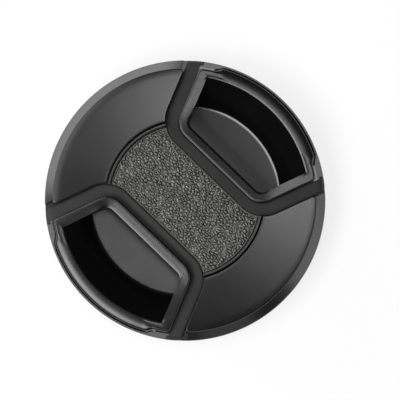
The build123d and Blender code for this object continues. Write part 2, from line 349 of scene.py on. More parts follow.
# %% Edges of a bay
# How many points the side, the corner and the arm of half a bay have.
EDGE_STEPS = (8, 18, 20)


def on_circle(radius, angle):
    """The plan point at a radius and an angle."""
    return radius * np.array([math.cos(angle), math.sin(angle)])


def half_bay(bay, ends, steps=EDGE_STEPS):
    """Upper half of a bay's edge: side, corner, the arm out to the first of some radii, then the others."""
    side, corner = bay["side"], bay["corner"]
    lift = bay["arm"] + math.tan(ARM_TILT) * (side + corner - ARM_STATION) - corner / math.cos(ARM_TILT)
    centre = np.array([side + corner, lift])
    points = [np.array([side, y]) for y in np.linspace(0, lift, steps[0], endpoint=False)]
    for turn in np.linspace(math.pi, math.pi / 2 + ARM_TILT, steps[1], endpoint=False):
        points.append(centre + on_circle(corner, turn))
    tangent = centre + corner * OFF_ARM
    arm = on_arm(bay, ends[0]) - tangent
    points += [tangent + arm * share for share in np.linspace(0, 1, steps[2])]
    points += [on_arm(bay, radius) for radius in ends[1:]]
    return np.array(points)


def mirrored_path(half):
    """A whole bay edge, from the lower arm's end to the upper arm's end."""
    return np.vstack([half[:0:-1] * [1, -1], half])


print("half of the opening's edge has", len(half_bay(OPENING, [RIM])), "points")

# %% [markdown]
# ## The closed outlines of a tab
# The frame and the pocket close the bay with an arc near the rim. The frame's arc stands out further in
# its middle than at its two ends, with a soft S between, and its tips are rounded. The function takes the
# arc as a radius for each angle, so one function draws both outlines and all their parallel curves.

# %% Outer arcs
FRAME_ARC, FRAME_JOG = 29.2, 0.8
JOG = (math.radians(27.0), math.radians(31.0))
POCKET_ARC = 26.6


def eased(share):
    """A share from 0 to 1 that starts and ends softly."""
    return share * share * (3 - 2 * share)


def frame_arc(angle):
    """Outer radius of the frame by angle: it steps in softly towards the two ends."""
    return FRAME_ARC - FRAME_JOG * eased(np.clip((abs(angle) - JOG[0]) / (JOG[1] - JOG[0]), 0, 1))


def pocket_arc(angle):
    """Outer radius of the pocket's mouth, the same at every angle."""
    return POCKET_ARC


print("frame reaches", frame_arc(0.0), "mm in its middle,", round(frame_arc(JOG[1]), 2), "mm at its ends")

# %% Closed outlines
FRAME_TIP, POCKET_TIP = 1.2, 0.35
TIP_STEPS, PAST_JOG = 10, math.radians(40)
# Shares of the angle from the tip to the middle of the arc, closest together where the jog is.
ARC_SHARES = np.concatenate([np.linspace(1, 0.86, 6), np.linspace(0.845, 0.69, 12),
                             np.linspace(0.67, 0, 26)])


def closed_outline(bay, tip, arc, by=0.0):
    """A closed tab outline moved outwards by a distance: bay edge, rounded tips and outer arc."""
    tip_centre = on_arm(grown(bay, -tip), arc(PAST_JOG) - tip)
    tip_angle = math.atan2(tip_centre[1], tip_centre[0])
    tip_start = tip_centre + (tip + by) * OFF_ARM
    half = half_bay(grown(bay, by), [RIM])
    arm_steps = EDGE_STEPS[2]
    tangent = half[-arm_steps]
    points = list(half[:-arm_steps])
    for share in np.linspace(0, 1, arm_steps, endpoint=False):
        points.append(tangent + (tip_start - tangent) * share)
    for turn in np.linspace(math.pi / 2 + ARM_TILT, tip_angle, TIP_STEPS, endpoint=False):
        points.append(tip_centre + on_circle(tip + by, turn))
    for angle in ARC_SHARES * tip_angle:
        points.append(on_circle(arc(angle) + by, angle))
    upper = np.array(points)
    return np.vstack([upper, upper[-2:0:-1] * [1, -1]])


print("frame outline has", len(closed_outline(FRAME, FRAME_TIP, frame_arc)), "points")

# %% [markdown]
# ## Heights
# The plan curves need heights. The rear face lies on z = 0 and the front of the cap is 8.6 mm above it.
# The strips lie 1.4 mm lower, and the seat that meets the lens is 3 mm above the rear. From the plate
# outwards the whole front is a shallow crown, part of a sphere with a radius of about 370 mm, which gives
# every surface a slow gradient under a lamp.

# %% Heights of the front
FRONT, STRIP_TOP, SEAT = 8.6, 7.2, 3.0
CROWN, CROWN_START = 370.0, 17.2


def crown_drop(radius):
    """How far the crowned front lies below its highest ring at a distance from the cap's axis."""
    return np.clip(np.asarray(radius, float) ** 2 - CROWN_START ** 2, 0, None) / (2 * CROWN)


print("the crown falls by", round(float(crown_drop(RIM)), 2), "mm at the rim")

# %% [markdown]
# The pocket drops to a slightly hollow floor near 2.5 mm that rises towards the rim; there a cove turns
# it into a straight ramp that climbs to just under the mouth. Floor, cove and ramp are one surface of
# revolution, so their height only depends on the radius, and one function gives it.

# %% Heights of the pocket
FLOOR_MIDDLE, FLOOR_TOP, FLOOR_RISE, FLOOR_BOW = 15.5, 2.5, 0.075, 100.0
FLOOR_EDGE, RAMP_TOP, COVE = 20.3, 7.6, 2.0
FLOOR_RUN = FLOOR_EDGE - FLOOR_MIDDLE
FLOOR_TILT = math.atan(FLOOR_RISE + FLOOR_RUN / FLOOR_BOW)
EDGE_HEIGHT = FLOOR_TOP + FLOOR_RUN * FLOOR_RISE + FLOOR_RUN ** 2 / (2 * FLOOR_BOW)
RAMP_TILT = math.atan2(RAMP_TOP - EDGE_HEIGHT, POCKET_ARC - FLOOR_EDGE)
COVE_REACH = COVE * math.tan((RAMP_TILT - FLOOR_TILT) / 2)
COVE_START = FLOOR_EDGE - COVE_REACH * math.cos(FLOOR_TILT)
COVE_END = FLOOR_EDGE + COVE_REACH * math.cos(RAMP_TILT)


def pocket_height(radius):
    """Height of the pocket's floor, cove or ramp at a distance from the cap's axis."""
    radius = np.asarray(radius, float)
    run = np.minimum(radius, COVE_START) - FLOOR_MIDDLE
    floor_height = FLOOR_TOP + run * FLOOR_RISE + run ** 2 / (2 * FLOOR_BOW)
    in_cove = np.clip(radius, COVE_START, COVE_END) - COVE_START + COVE * math.sin(FLOOR_TILT)
    cove_height = COVE * math.cos(FLOOR_TILT) - np.sqrt(COVE ** 2 - in_cove ** 2)
    return floor_height + cove_height + np.clip(radius - COVE_END, 0, None) * math.tan(RAMP_TILT)


mouth_height = float(pocket_height(POCKET_ARC))
print("ramp tilt", round(math.degrees(RAMP_TILT), 1), "degrees; its top", round(mouth_height, 2), "mm")

# %% [markdown]
# ## A pinch tab
# Each tab is one moulding: a raised frame round a deep finger pocket, a recessed strip that slides under
# the front panels, a steep rim lip, and a skirt with two thread teeth. The parts are lofted one after
# another into one shell, and each face remembers the patch of the mould that it comes from. The frame
# comes first. Its outer shoulder and its inner edge change along the way: the side leans into the pocket
# and ends in a small step, the arms are nearly flat, and the rim part is a broad crown. Two functions say
# how wide and how deep these rounds are at each point of the outline.

# %% Rounds of the frame
SHOULDER_SIDE, SHOULDER_RIM, SHOULDER_DROP = 0.5, 2.30, 0.65
CROWNED_RADII, CROWNED_DEGREES = (27.5, 28.6), (25, 31)
# Each mouth is the run and the drop of the lean, and the width of the step.
MOUTH_SIDE, MOUTH_ARM, MOUTH_RIM = (1.85, 0.31, 0.42), (1.75, 0.05, 0.0), (0.30, 0.12, 0.0)
MOUTH_TURN_FROM, MOUTH_TURN_RUN, MOUTH_RIM_RADII = 12.3, 4.5, (24.5, 26.4)


def shoulder_run(outline):
    """Width of the frame's outer shoulder at each point: narrow on the side and arms, broad at the rim."""
    degrees = np.degrees(np.abs(np.arctan2(outline[:, 1], outline[:, 0])))
    near_rim = np.interp(from_axis(outline), CROWNED_RADII, [0, 1])
    in_middle = np.interp(degrees, CROWNED_DEGREES, [1, 0])
    return SHOULDER_SIDE + (SHOULDER_RIM - SHOULDER_SIDE) * (near_rim * in_middle)


def mouth_round(outline):
    """Run and drop of the frame's lean to the pocket's mouth, and width of the step, at each point."""
    share = np.clip((outline[:, 0] - MOUTH_TURN_FROM) / MOUTH_TURN_RUN, 0, 1)[:, None]
    along = np.array(MOUTH_SIDE) + (np.array(MOUTH_ARM) - MOUTH_SIDE) * eased(share)
    at_rim = np.interp(from_axis(outline), MOUTH_RIM_RADII, [0, 1])[:, None]
    return (along + (MOUTH_RIM - along) * at_rim).T


print("the frame's side is", round(POCKET["side"] - FRAME["side"], 2), "mm wide")

# %% [markdown]
# The frame is a stack of rings, from the foot of its outer wall over an elliptical shoulder and the
# leaning face to the step at the mouth, and down the pocket wall. The foot of the outer wall is hidden:
# it stays above the springs and the guides of the rear cover, and comes lower only near the rim.

# %% Frame
FINISH_FRAME, FINISH_STRIP, FINISH_FLOOR, FINISH_COVE, FINISH_RAMP, FINISH_RIM, FINISH_LIP = range(7)
SHOULDER_ROWS, LEAN_ROWS = 13, 10
STEP_DEPTH = 0.45
# Each row of the step has a share of the step's width and a share of its depth.
STEP_ROWS = ((0.93, 0.06), (0.86, 0.85), (0.78, 1.0), (0.3, 1.16), (0.08, 1.23), (0.0, 1.7))
FOOT_RADII, FOOT_HEIGHTS = (18.0, 24.0, 28.0), (6.3, 5.9, 4.5)


def add_frame(shell):
    """The raised frame, from its outer foot to the bottom of the pocket wall."""
    outer = closed_outline(FRAME, FRAME_TIP, frame_arc)
    inward = closed_outline(FRAME, FRAME_TIP, frame_arc, -1.0) - outer
    mouth = closed_outline(POCKET, POCKET_TIP, pocket_arc)
    outward = closed_outline(POCKET, POCKET_TIP, pocket_arc, 1.0) - mouth
    run, (reach, drop, step) = shoulder_run(outer), mouth_round(mouth)
    rings = []
    for turn in np.linspace(0, math.pi / 2, SHOULDER_ROWS):
        ring = outer + inward * run[:, None] * (1 - math.cos(turn))
        rings.append((ring, SHOULDER_DROP * (1 - math.sin(turn))))
    for share in np.linspace(0, 1, LEAN_ROWS):
        rings.append((mouth + outward * (step + (reach - step) * (1 - share))[:, None], drop * share))
    for share, depth in STEP_ROWS:
        rings.append((mouth + outward * (step * share)[:, None], drop + STEP_DEPTH * depth))
    rows = [flat_row(outer, np.interp(from_axis(outer), FOOT_RADII, FOOT_HEIGHTS))]
    for ring, fall in rings:
        rows.append(flat_row(ring, FRONT - crown_drop(from_axis(ring)) - fall))
    loft(shell, rows, FINISH_FRAME, closed=True)
    wall_foot = flat_row(mouth, pocket_height(from_axis(mouth)))
    loft(shell, [rows[-1], wall_foot], FINISH_FLOOR, closed=True)


tab = new_shell()
add_frame(tab)
print("the frame brings the tab to", len(tab["faces"]), "faces")

# %% [markdown]
# The pocket's floor, cove and ramp run a little way into the pocket wall, so that no gap shows. The floor
# is lofted from the bay's edge to the start of the cove, and cove and ramp are rows of arcs. The start of
# the cove still has the floor's satin and its end the ramp's polish, as if the mould was blended there.

# %% Pocket
POCKET_OVERLAP = 0.05
FLOOR_ROWS, COVE_ROWS, RAMP_ROWS, RAMP_COLUMNS = 24, 14, 12, 40
RAMP_FIRST = 0.3
COVE_POLISHED_FROM, RAMP_POLISHED_FROM = 4, 9


def add_pocket(shell):
    """The pocket's floor, its cove and its ramp."""
    bay = grown(POCKET, POCKET_OVERLAP)
    edge = mirrored_path(half_bay(bay, [COVE_START]))
    end_angle = math.atan2(edge[-1][1], edge[-1][0])
    arc = [on_circle(COVE_START, angle) for angle in np.linspace(-end_angle, end_angle, len(edge))]
    rows = []
    for share in np.linspace(0, 1, FLOOR_ROWS):
        plan = edge + (arc - edge) * share
        rows.append(flat_row(plan, pocket_height(from_axis(plan))))
    loft(shell, rows, FINISH_FLOOR)
    rows = []
    ramp_radii = np.linspace(COVE_END + RAMP_FIRST, POCKET_ARC + POCKET_OVERLAP, RAMP_ROWS)
    for radius in np.concatenate([np.linspace(COVE_START, COVE_END, COVE_ROWS), ramp_radii]):
        angles = arm_angle(bay, radius) * np.linspace(1, -1, RAMP_COLUMNS)
        plan = radius * np.column_stack([np.cos(angles), np.sin(angles)])
        rows.append(flat_row(plan, float(pocket_height(radius))))
    loft(shell, rows[:COVE_POLISHED_FROM + 1], FINISH_FLOOR)
    loft(shell, rows[COVE_POLISHED_FROM:RAMP_POLISHED_FROM + 1], FINISH_COVE)
    loft(shell, rows[RAMP_POLISHED_FROM:], FINISH_RAMP)


add_pocket(tab)
print("the pocket brings the tab to", len(tab["faces"]), "faces")

# %% [markdown]
# The strip is the matte band between the frame and the edge of the opening. Its side leans a little down
# to the frame, its arms fall slightly towards the rim, and its two ends are rounded over there. Along the
# panels a narrow sliding gap runs beside the strip, which the eye reads as a dark line. The hidden wall
# of the gap stops above the ledge of the front body and above the springs, so that the tab can be
# pinched.

# %% Strip
STRIP_END, STRIP_ROUND, END_ROWS = 29.95, 1.2, 7
STRIP_FALL, FALL_FROM = math.tan(math.radians(3.5)), 15.0
STRIP_LEAN, LEAN_ENDS = math.tan(math.radians(5.0)), (10.0, 14.0)
STRIP_OVERLAP, STRIP_ROWS, STRIP_SHARE = 0.3, 6, 0.86
GAP, GAP_SIDE, GAP_ARM, GAP_TURN = 0.22, 0.35, 0.75, (9.0, 13.0)
# Each row of the gap has a distance across it and a share of its depth.
GAP_ROWS = ((0.0, 0.1), (0.06, 0.4), (0.08, 1.0), (GAP, 1.0))
LEDGE_TOP, LEDGE_ROOM = 4.4, 0.1
WALL_RADII, WALL_HEIGHTS = (24.0, 26.5), (6.15, LEDGE_TOP + LEDGE_ROOM)


def strip_heights(half, bay, drops, dip):
    """Heights along half a row of the strip, lower at its rounded end, in its gap and down its slopes."""
    dips = dip * np.interp(half[:, 0], GAP_TURN, [GAP_SIDE, GAP_ARM])
    end_drops = np.concatenate([np.zeros(len(half) - len(drops)), drops])
    heights = STRIP_TOP - np.maximum(end_drops, dips)
    heights -= STRIP_FALL * np.clip(from_axis(half) - FALL_FROM, 0, None)
    heights -= STRIP_LEAN * (bay["side"] - OPENING["side"]) * np.interp(half[:, 0], LEAN_ENDS, [1, 0])
    return np.maximum(heights, LEDGE_TOP + LEDGE_ROOM)


def add_strip(shell):
    """The recessed strip with its rounded ends and its sliding gap."""
    turns = np.linspace(0, math.pi / 2, END_ROWS)
    ends = list(STRIP_END - STRIP_ROUND * (1 - np.sin(turns))) + [STRIP_END]
    drops = list(STRIP_ROUND * (1 - np.cos(turns))) + [STRIP_TOP - LEDGE_TOP - LEDGE_ROOM]
    inner = grown(FRAME, -STRIP_OVERLAP)
    steps = [(between(inner, OPENING, share), 0.0) for share in np.linspace(0, STRIP_SHARE, STRIP_ROWS)]
    steps += [(grown(OPENING, by - GAP), dip) for by, dip in GAP_ROWS]
    rows = []
    for bay, dip in steps:
        half = half_bay(bay, ends)
        heights = strip_heights(half, bay, drops, dip)
        lower = flat_row(half[:0:-1] * [1, -1], heights[:0:-1])
        rows.append(np.vstack([lower, flat_row(half, heights)]))
    wall = rows[-1]
    wall_foot = np.minimum(wall[:, 2], np.interp(from_axis(wall), WALL_RADII, WALL_HEIGHTS))
    rows.append(np.column_stack([wall[:, :2], wall_foot]))
    loft(shell, rows, FINISH_STRIP)


add_strip(tab)
print("the strip brings the tab to", len(tab["faces"]), "faces")

# %% [markdown]
# A thin flange carries the strip on under the panels, where it slides. Below each end of the strip stands
# a foot, set back by 1 mm, so that the tab clears the ledge of the front body when it is pinched.

# %% Flange and feet
FLANGE_FROM, FLANGE_TO, FLANGE_END = 0.02, 1.2, 26.0
FLANGE_ROOM, FLANGE_FOOT = 0.01, 1.2
NOTCH, FOOT_STEPS, FOOT_INNER, FOOT_TOP = 1.0, 4, 26.9, LEDGE_TOP + 0.6


def add_flange(shell):
    """The flange under the panels."""
    near = mirrored_path(half_bay(grown(OPENING, FLANGE_FROM), [FLANGE_END]))
    far = mirrored_path(half_bay(grown(OPENING, FLANGE_TO), [FLANGE_END]))
    top, bottom = STRIP_TOP - FLANGE_ROOM, STRIP_TOP - FLANGE_FOOT
    loft(shell, [flat_row(near, top), flat_row(far, top), flat_row(far, bottom), flat_row(near, bottom)],
         FINISH_STRIP)


def add_feet(shell):
    """The two feet under the ends of the strip."""
    section = [(FOOT_INNER, SEAT), (RIM, SEAT), (RIM, FOOT_TOP), (FOOT_INNER, FOOT_TOP)]
    for flip in (1, -1):
        foot = []
        for share in np.linspace(0, 1, FOOT_STEPS):
            bay = between(grown(FRAME, -STRIP_OVERLAP), grown(OPENING, -NOTCH), share)
            foot.append([(*(on_arm(bay, radius) * [1, flip]), height) for radius, height in section])
        loft(shell, foot, FINISH_RIM, closed=True)
        close_ring(shell, foot[-1], FINISH_RIM)


add_flange(tab)
add_feet(tab)
print("flange and feet bring the tab to", len(tab["faces"]), "faces")

# %% [markdown]
# The lip and the skirt are swept round the cap's axis between the two arms of the frame, so each point of
# their section swings through the angle at which the arm crosses its own radius. A section is drawn as
# corners with a radius each, and a helper turns those corners into arcs.

# %% Sections and sweeps
ROUND_STEPS = 6


def rounded(corners):
    """A polyline of (radius, height, round) corners as points, with an arc at each inner corner."""
    spots = [np.array(corner[:2], float) for corner in corners]
    points = [spots[0]]
    for before, here, after, corner in zip(spots, spots[1:], spots[2:], corners[1:-1]):
        if corner[2] == 0:
            points.append(here)
            continue
        back = (before - here) / np.linalg.norm(before - here)
        ahead = (after - here) / np.linalg.norm(after - here)
        half = math.acos(np.clip(back @ ahead, -1, 1)) / 2
        middle = (back + ahead) / np.linalg.norm(back + ahead)
        across = (ahead - back) / np.linalg.norm(ahead - back)
        centre = here + middle * corner[2] / math.sin(half)
        sweep = math.pi / 2 - half
        for turn in np.linspace(-sweep, sweep, ROUND_STEPS):
            points.append(centre + corner[2] * (across * math.sin(turn) - middle * math.cos(turn)))
    points.append(spots[-1])
    return np.array(points)


def swept_row(section, bay, share):
    """A section swung about the axis to a share of the angle at which a bay's arm crosses each radius."""
    row = []
    for radius, height in section:
        row.append((*on_circle(radius, share * arm_angle(bay, radius)), height))
    return row


print("a round has", ROUND_STEPS, "points")

# %% [markdown]
# The lip is the steep, polished slope from the frame to the rim. It follows the frame's arc, so it widens
# past the jog. In its middle part a V groove parts it from the frame, and the eye reads that as a thin
# dark line.

# %% Rim lip
LIP_INNER, LIP_STEPS, LIP_OUT, LIP_RADIUS = 27.0, 120, 0.3, 29.3
LIP_TOPS, LIP_EDGES = (5.85, 6.95), (5.0, 4.7)
RIM_FOOT_ROUND, LIP_EDGE_ROUND, LIP_TOP_ROUND = 0.25, 0.15, 0.08
GROOVE_OUT, GROOVE_MIDDLE, GROOVE_IN, GROOVE_DEPTH = 0.05, 0.10, 0.40, 1.3
GROOVE_END = (math.radians(24.0), math.radians(28.0))


def add_lip(shell):
    """The steep rim lip that follows the frame's arc, with a groove between the two in the middle part."""
    rows = []
    for share in np.linspace(-1, 1, LIP_STEPS):
        angle = abs(share) * arm_angle(FRAME, LIP_RADIUS)
        depth = np.interp(angle, GROOVE_END, [GROOVE_DEPTH, 0.0])
        ridge = frame_arc(angle) + LIP_OUT
        jog = (FRAME_ARC + LIP_OUT - ridge) / FRAME_JOG
        top = LIP_TOPS[0] + (LIP_TOPS[1] - LIP_TOPS[0]) * jog
        edge = LIP_EDGES[0] + (LIP_EDGES[1] - LIP_EDGES[0]) * jog
        section = rounded([(LIP_INNER, SEAT, 0), (RIM, SEAT, RIM_FOOT_ROUND), (RIM, edge, LIP_EDGE_ROUND),
                           (ridge + GROOVE_OUT, top, LIP_TOP_ROUND),
                           (ridge - GROOVE_MIDDLE, top - depth, 0), (ridge - GROOVE_IN, top, 0),
                           (LIP_INNER, STRIP_TOP, 0)])
        rows.append(swept_row(section, FRAME, share))
    loft(shell, rows, FINISH_LIP, closed=True)


add_lip(tab)
print("the lip brings the tab to", len(tab["faces"]), "faces")

# %% [markdown]
# The skirt below the seat goes into the lens. Two teeth, one thread pitch apart, stand on its middle part
# and hold the cap in the thread. They end in a short slope on either side.

# %% Skirt and teeth
PILOT, TOOTH_CREST, PITCH = 28.245, 28.95, 0.75
SKIRT_INNER, SKIRT_FOOT = 26.95, 1.4
TEETH, FIRST_TOOTH, CREST_HALF = 2, 0.6, 0.06
TEETH_TO, TEETH_GONE, TEETH_STEPS = 0.8, 0.82, 48


def add_skirt(shell):
    """The skirt below the seat, with its thread teeth."""
    crests = [SEAT - (tooth + FIRST_TOOTH) * PITCH for tooth in range(TEETH)]
    toothed = np.linspace(-TEETH_TO, TEETH_TO, TEETH_STEPS)
    rows = []
    for share in np.concatenate([[-1, -TEETH_GONE], toothed, [TEETH_GONE, 1]]):
        reach = TOOTH_CREST if abs(share) <= TEETH_TO else PILOT
        section = [(SKIRT_INNER, SEAT), (PILOT, SEAT)]
        for crest in crests:
            section += [(PILOT, crest + 0.5 * PITCH),
                        (reach, crest + CREST_HALF), (reach, crest - CREST_HALF)]
        section += [(PILOT, crests[-1] - 0.5 * PITCH), (PILOT, SKIRT_FOOT), (SKIRT_INNER, SKIRT_FOOT)]
        rows.append(swept_row(section, FRAME, share))
    loft(shell, rows, FINISH_RIM, closed=True)


add_skirt(tab)
print("the skirt brings the tab to", len(tab["faces"]), "faces")

# %% [markdown]
# The two tabs are mirror images, so the left one is the same shell with X turned round. Each rides on its
# own body, which slides along X when the cap is pinched.

# %% Both tabs
tab_finishes = [frame_abs, strip_abs, floor_abs, cove_abs, ramp_abs, rim_abs, lip_abs]
mirrored_tab = {**tab, "points": [(-x, y, z) for x, y, z in tab["points"]]}
make_piece("right_tab_moulding", tab, tab_finishes, "right_tab", ["right_pinch_tab"])
make_piece("left_tab_moulding", mirrored_tab, tab_finishes, "left_tab", ["left_pinch_tab"])

# %% [markdown]
# ## The front body
# The front body holds everything together: two crescent panels joined by a narrow bridge, and a sloped
# rim band below each panel. A panel is swept between the two bays. Its face follows the crown and falls
# away softly at the rim, and its other edges have the small round that a mould needs. The rows lie close
# together where the edges turn and further apart on the face.

# %% Shape of a panel
PANEL_IN, PANEL_OUT, PANEL_TIP = 17.18, 28.2, 0.65
PANEL_EDGE_STEPS, PANEL_TIP_STEPS = (8, 60, 60), 16
EDGE_ROUND, EDGE_SHARES = 0.15, np.array([0, 0.04, 0.15, 0.35, 0.65, 1.0])
FALL_RUN, FALL_DROP, RIM_ROUND = 1.8, 0.09, 0.20
FACE_ROWS, FACE_FROM, FACE_TO = 24, 0.6, 0.3
FALL_ROWS, FALL_TO = 10, 0.1


def panel_edge():
    """Radius and angle along the panel's edge over the right bay, with the rounded outer tip."""
    tip_centre = on_arm(grown(OPENING, PANEL_TIP), PANEL_OUT - PANEL_TIP)
    tip_angle = math.atan2(tip_centre[1], tip_centre[0])
    arm_end = np.linalg.norm(tip_centre - PANEL_TIP * OFF_ARM)
    path = list(half_bay(OPENING, [arm_end], PANEL_EDGE_STEPS))
    for turn in np.linspace(ARM_TILT - math.pi / 2, tip_angle, PANEL_TIP_STEPS)[1:]:
        path.append(tip_centre + on_circle(PANEL_TIP, turn))
    path = np.array(path)
    return from_axis(path), np.arctan2(path[:, 1], path[:, 0])


def panel_radii():
    """The radius of each row of a panel."""
    inner = PANEL_IN + EDGE_ROUND * EDGE_SHARES
    face = np.linspace(PANEL_IN + FACE_FROM, PANEL_OUT - FALL_RUN - FACE_TO, FACE_ROWS)
    soft = np.linspace(FALL_RUN, RIM_ROUND + FALL_TO, FALL_ROWS)
    outer = PANEL_OUT - np.concatenate([soft, RIM_ROUND * EDGE_SHARES[::-1]])
    return np.concatenate([[PANEL_IN], inner, face, outer, [PANEL_OUT]])


print("a panel has", len(panel_radii()), "rows")

# %% Panels
PLATE_UNDER, PANEL_FOOT = 7.3, 6.9
PANEL_COLUMNS, COLUMNS_FROM = 28, 0.5
FINISH_PANEL, FINISH_BAND = range(2)


def edge_drop(distance, size):
    """How far a rounded edge lies below its face, by distance from the edge."""
    inside = np.clip(size - np.asarray(distance, float), 0, size)
    return size - np.sqrt(size ** 2 - inside ** 2)


def panel_height(radius):
    """Height of a panel's face at a radius: crowned, rounded at both edges, with a soft fall to the rim."""
    height = FRONT - edge_drop(radius - PANEL_IN, EDGE_ROUND)
    height -= crown_drop(radius) + edge_drop(PANEL_OUT - radius, RIM_ROUND)
    return height - FALL_DROP * (max(radius - PANEL_OUT + FALL_RUN, 0) / FALL_RUN) ** 2


def add_panel(shell, flip):
    """One crescent panel with rounded edges and its walls."""
    edge_radius, edge_angle = panel_edge()
    fine = EDGE_ROUND * EDGE_SHARES
    radii = panel_radii()
    rows = []
    for index, radius in enumerate(radii):
        limit = np.interp(radius, edge_radius, edge_angle)
        middle = np.linspace(0, math.pi / 2 - limit - COLUMNS_FROM / radius, PANEL_COLUMNS)[::-1]
        half = np.concatenate([[limit], limit + fine / radius, math.pi / 2 - middle])
        height = panel_height(radius)
        face = np.concatenate([height - edge_drop(fine, EDGE_ROUND), np.full(PANEL_COLUMNS, height)])
        heights = np.concatenate([[PLATE_UNDER], face])
        if index == 0:
            heights[:] = PLATE_UNDER
        if index == len(radii) - 1:
            heights[:] = PANEL_FOOT
        angles = np.concatenate([half, math.pi - half[-2::-1]])
        heights = np.concatenate([heights, heights[-2::-1]])
        rows.append(np.column_stack([radius * np.cos(angles), flip * radius * np.sin(angles), heights]))
    loft(shell, rows, FINISH_PANEL)


inner_height, outer_height = panel_height(PANEL_IN + EDGE_ROUND), panel_height(PANEL_OUT - RIM_ROUND)
print("a panel falls from", round(inner_height, 2), "to", round(outer_height, 2), "mm")

# %% [markdown]
# The bridge is a flat seat for the grained plate. A rib with sloped sides stands on it past each end of
# the plate and leaves a V groove on either side of it; from the front they read as two dark lines. The
# ribs, like the rim bands, are sections swept round the axis from one bay to the other, with their ends
# closed.

# %% Bridge and ribs
BRIDGE_TOP, BRIDGE_END = 7.4, PANEL_IN + 0.1
BRIDGE_STEPS, BRIDGE_ARC_STEPS = (8, 30, 4), 40
RIB_FEET, RIB_TOPS, RIB_HEIGHT, RIB_ROUND = (15.99, 17.14), (16.30, 16.80), 8.45, 0.12
RIB_STEPS, OPENING_STEPS = 40, (40, 60, 60)


def add_arc(shell, section, limits, steps, finish, flip):
    """A section swept round the axis from one bay to the other, with its ends closed."""
    rows = []
    for share in np.linspace(0, 1, steps):
        row = []
        for (radius, height), low in zip(section, limits):
            angle = low + (math.pi - 2 * low) * share
            row.append((radius * math.cos(angle), flip * radius * math.sin(angle), height))
        rows.append(row)
    loft(shell, rows, finish, closed=True)
    close_ring(shell, rows[0], finish)
    close_ring(shell, rows[-1], finish)


def opening_angle(radius):
    """Angle at which the edge of the opening crosses a radius."""
    path = half_bay(OPENING, [RIM], OPENING_STEPS)
    return np.interp(radius, from_axis(path), np.arctan2(path[:, 1], path[:, 0]))


def add_bridge(shell):
    """The seat of the grained plate and the two ribs at its ends."""
    path = mirrored_path(half_bay(OPENING, [BRIDGE_END], BRIDGE_STEPS))
    path = path[from_axis(path) <= BRIDGE_END]
    limit, end = math.atan2(path[-1][1], path[-1][0]), np.hypot(*path[-1])
    turns = np.linspace(limit, math.pi - limit, BRIDGE_ARC_STEPS)[1:-1]
    ring = np.vstack([path, [on_circle(end, turn) for turn in turns]])
    ring = np.vstack([ring, -ring])
    loft(shell, [flat_row(ring, PLATE_UNDER), flat_row(ring, BRIDGE_TOP)], FINISH_PANEL, closed=True)
    close_ring(shell, flat_row(ring, BRIDGE_TOP), FINISH_PANEL)
    section = rounded([(RIB_FEET[0], BRIDGE_TOP, 0), (RIB_TOPS[0], RIB_HEIGHT, RIB_ROUND),
                       (RIB_TOPS[1], RIB_HEIGHT, RIB_ROUND), (RIB_FEET[1], BRIDGE_TOP, 0)])
    limits = [opening_angle(radius) for radius, height in section]
    for flip in (1, -1):
        add_arc(shell, section, limits, RIB_STEPS, FINISH_PANEL, flip)


print("a rib is", round(RIB_TOPS[1] - RIB_TOPS[0], 2), "mm wide on top")

# %% [markdown]
# The rim band slopes from the panel's foot to the rim, and stops 1 mm short of the strip, which leaves a
# dark notch at each end. Below it the ledge runs on to the strip and carries the pilot that goes into the
# lens; it stands back a hair from the rim, so that band and ledge never share a surface. At the back,
# four tongues are staked through the rear cover to hold it.

# %% Rim bands and stakes
BAND_INNER, BAND_STEPS = 27.0, 72
BAND_EDGE, BAND_EDGE_ROUND, BAND_TOP, BAND_TOP_ROUND = 5.6, 0.45, 7.6, 0.1
LEDGE_FOOT, LEDGE_BACK, PILOT_ROUND, LEDGE_ROUND = 1.2, 0.03, 0.15, 0.1
STAKE_X, STAKE_Y, STAKE_HALVES = 9.0, 21.0, (1.5, 0.8)
STAKE_FROM, STAKE_TO = 1.3, 0.2


def add_band(shell, section, bay, flip):
    """One rim arc between the two bays."""
    limits = [arm_angle(bay, radius) for radius, height in section]
    add_arc(shell, section, limits, BAND_STEPS, FINISH_BAND, flip)


def add_stakes(shell):
    """The ends of the four tongues that are staked through the rear cover."""
    corners = np.array([(-1, -1), (1, -1), (1, 1), (-1, 1)]) * STAKE_HALVES
    for x in (-STAKE_X, STAKE_X):
        for y in (-STAKE_Y, STAKE_Y):
            tongue = corners + [x, y]
            top, end = flat_row(tongue, STAKE_FROM), flat_row(tongue, STAKE_TO)
            loft(shell, [top, end], FINISH_BAND, closed=True)
            close_ring(shell, end, FINISH_BAND)


band_section = rounded([(BAND_INNER, SEAT, 0), (RIM, SEAT, RIM_FOOT_ROUND),
                        (RIM, BAND_EDGE, BAND_EDGE_ROUND), (PANEL_OUT, STRIP_TOP, BAND_TOP_ROUND),
                        (PANEL_OUT, BAND_TOP, 0), (BAND_INNER, BAND_TOP, 0)])
ledge_seat, ledge_rim = SEAT + LEDGE_BACK, RIM - LEDGE_BACK
ledge_section = rounded([(BAND_INNER, LEDGE_FOOT, 0), (PILOT, LEDGE_FOOT, PILOT_ROUND),
                         (PILOT, ledge_seat, 0), (ledge_rim, ledge_seat, RIM_FOOT_ROUND),
                         (ledge_rim, LEDGE_TOP, LEDGE_ROUND), (BAND_INNER, LEDGE_TOP, 0)])
print("the band's section has", len(band_section), "points and the ledge's", len(ledge_section))

# %% [markdown]
# The parts of the front body go into one shell, the panels with the satin finish and the rim with the
# matte.

# %% Front body
body = new_shell()
for side in (1, -1):
    add_panel(body, side)
    add_band(body, band_section, grown(OPENING, NOTCH), side)
    add_band(body, ledge_section, OPENING, side)
add_bridge(body)
add_stakes(body)
make_piece("front_body_moulding", body, [panel_abs, rim_abs], "cap_body", ["front_body"])

